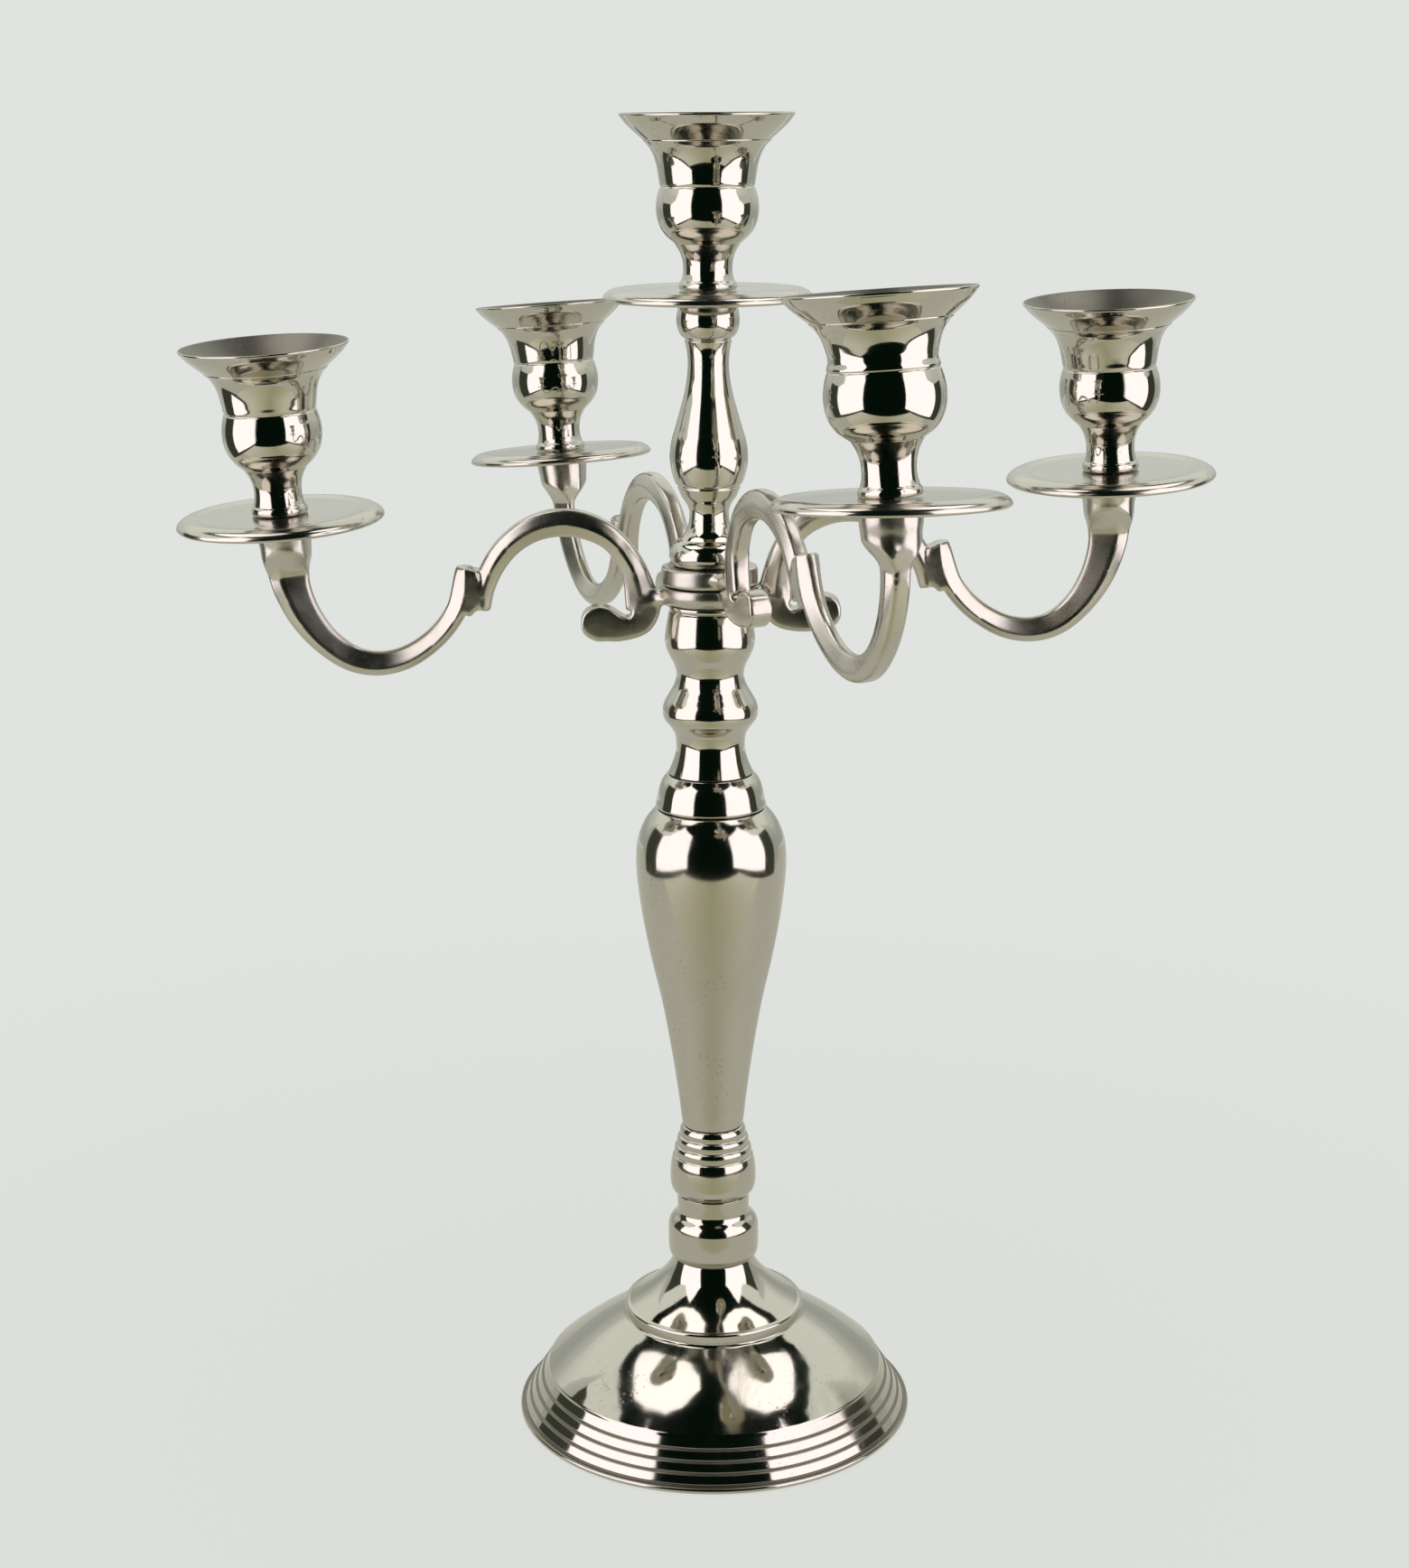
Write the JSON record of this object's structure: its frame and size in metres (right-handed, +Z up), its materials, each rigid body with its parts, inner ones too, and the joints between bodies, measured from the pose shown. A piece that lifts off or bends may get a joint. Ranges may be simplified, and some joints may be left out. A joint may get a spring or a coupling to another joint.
{
  "type": "tabletop candelabra",
  "caption": "Tabletop candelabra with a stepped domed foot, turned vase stem, crossed scroll arms and flared candle cups on round drip pans.",
  "frame": {"origin": "centre of the foot's underside, on the table", "axes": "+Z up along the stem; +X to the right and +Y away from the viewer, with the lower pair of arms along X"},
  "size_m": [0.3041, 0.3009, 0.4],
  "materials": {
    "cast_nickel": "cast aluminium, nickel plated and polished, lightly pitted and water stained",
    "satin_nickel": "cast aluminium, nickel plated, polish worn to satin low on the vase",
    "steel": "plain bright steel fixings"
  },
  "bodies": {
    "stem": {"foot": "cast_nickel", "foot_washer": "steel", "foot_nut": "steel", "tie_rod": "steel", "stem_knob": "cast_nickel", "stem_barrel": "cast_nickel", "stem_vase": "satin_nickel", "stem_collar": "cast_nickel", "stem_baluster": "cast_nickel"},
    "lower_arm_pair": {"lower_arms": "cast_nickel", "left_stud": "steel", "right_stud": "steel"},
    "upper_arm_pair": {"upper_arms": "cast_nickel", "front_stud": "steel", "back_stud": "steel"},
    "top_stem": {"upper_stem": "cast_nickel", "centre_stud": "steel"},
    "centre_light": {"centre_cup": "cast_nickel", "centre_pan": "cast_nickel"},
    "left_light": {"left_cup": "cast_nickel", "left_pan": "cast_nickel"},
    "right_light": {"right_cup": "cast_nickel", "right_pan": "cast_nickel"},
    "front_light": {"front_cup": "cast_nickel", "front_pan": "cast_nickel"},
    "back_light": {"back_cup": "cast_nickel", "back_pan": "cast_nickel"}
  },
  "joints": [
    {"name": "lower_arms_swivel", "type": "hinge", "parent": "stem", "child": "lower_arm_pair", "pos_m": [0, 0, 0.2589], "axis": [0, 0, 1], "continuous": true},
    {"name": "upper_arms_swivel", "type": "hinge", "parent": "lower_arm_pair", "child": "upper_arm_pair", "pos_m": [0, 0, 0.2647], "axis": [0, 0, 1], "range_deg": [-78, 34]},
    {"name": "upper_stem_turn", "type": "hinge", "parent": "stem", "child": "top_stem", "pos_m": [0, 0, 0.2705], "axis": [0, 0, 1], "continuous": true},
    {"name": "centre_cup_turn", "type": "hinge", "parent": "top_stem", "child": "centre_light", "pos_m": [0, 0, 0.3491], "axis": [0, 0, 1], "continuous": true},
    {"name": "left_cup_turn", "type": "hinge", "parent": "lower_arm_pair", "child": "left_light", "pos_m": [-0.12594, -0.00094, 0.28527], "axis": [-0.0471, -0.0401, 0.9981], "continuous": true},
    {"name": "right_cup_turn", "type": "hinge", "parent": "lower_arm_pair", "child": "right_light", "pos_m": [0.11749, -0.0014, 0.29675], "axis": [-0.0471, -0.0401, 0.9981], "continuous": true},
    {"name": "front_cup_turn", "type": "hinge", "parent": "upper_arm_pair", "child": "front_light", "pos_m": [0.04506, -0.11722, 0.30605], "axis": [-0.062, 0.0523, 0.9967], "continuous": true},
    {"name": "back_cup_turn", "type": "hinge", "parent": "upper_arm_pair", "child": "back_light", "pos_m": [-0.0498, 0.12307, 0.28754], "axis": [-0.062, 0.0523, 0.9967], "continuous": true}
  ]
}
